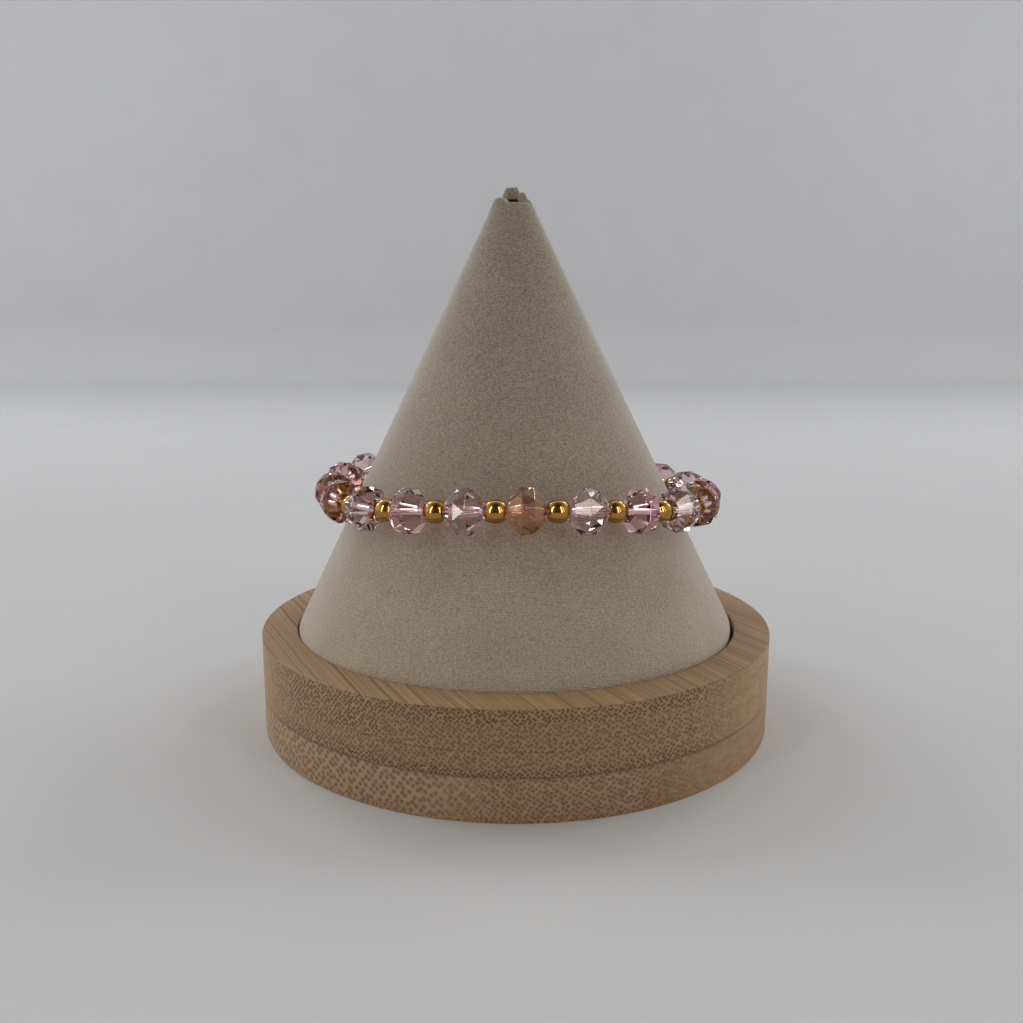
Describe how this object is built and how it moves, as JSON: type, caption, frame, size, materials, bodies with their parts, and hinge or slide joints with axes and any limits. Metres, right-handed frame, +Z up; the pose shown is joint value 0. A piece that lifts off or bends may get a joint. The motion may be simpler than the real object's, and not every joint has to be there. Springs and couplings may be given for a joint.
{
  "type": "beaded slider bracelet on a cone display stand",
  "caption": "Closed loop of faceted glass beads and gold spacers with a chain and slider at the back, resting on a suede cone in a round bamboo base.",
  "frame": {"origin": "middle of the underside of the round base", "axes": "+Z up along the cone, -Y towards the viewer, +X to the viewer's right"},
  "size_m": [0.1, 0.1, 0.1021],
  "materials": {
    "bamboo": "sanded laminated bamboo, matt clear oil",
    "suede": "beige microsuede, short brushed nap",
    "crystal": "clear pale pink cut glass, partly coated with a thin copper and lilac lustre",
    "gold": "polished gold plating",
    "thread": "pale nylon beading thread"
  },
  "bodies": {
    "root": {"bamboo_base": "bamboo", "display_cone": "suede", "thread": "thread", "crystal_bead_01": "crystal", "crystal_bead_02": "crystal", "crystal_bead_03": "crystal", "crystal_bead_04": "crystal", "crystal_bead_05": "crystal", "crystal_bead_06": "crystal", "crystal_bead_07": "crystal", "crystal_bead_08": "crystal", "crystal_bead_09": "crystal", "crystal_bead_10": "crystal", "crystal_bead_11": "crystal", "crystal_bead_12": "crystal", "crystal_bead_13": "crystal", "crystal_bead_14": "crystal", "crystal_bead_15": "crystal", "gold_spacer_01": "gold", "gold_spacer_02": "gold", "gold_spacer_03": "gold", "gold_spacer_04": "gold", "gold_spacer_05": "gold", "gold_spacer_06": "gold", "gold_spacer_07": "gold", "gold_spacer_08": "gold", "gold_spacer_09": "gold", "gold_spacer_10": "gold", "gold_spacer_11": "gold", "gold_spacer_12": "gold", "gold_spacer_13": "gold", "gold_spacer_14": "gold", "gold_spacer_15": "gold", "gold_spacer_16": "gold", "end_eye_left": "gold", "end_eye_right": "gold", "chain_left": "gold", "chain_right": "gold", "slider_bead": "gold"}
  },
  "joints": []
}
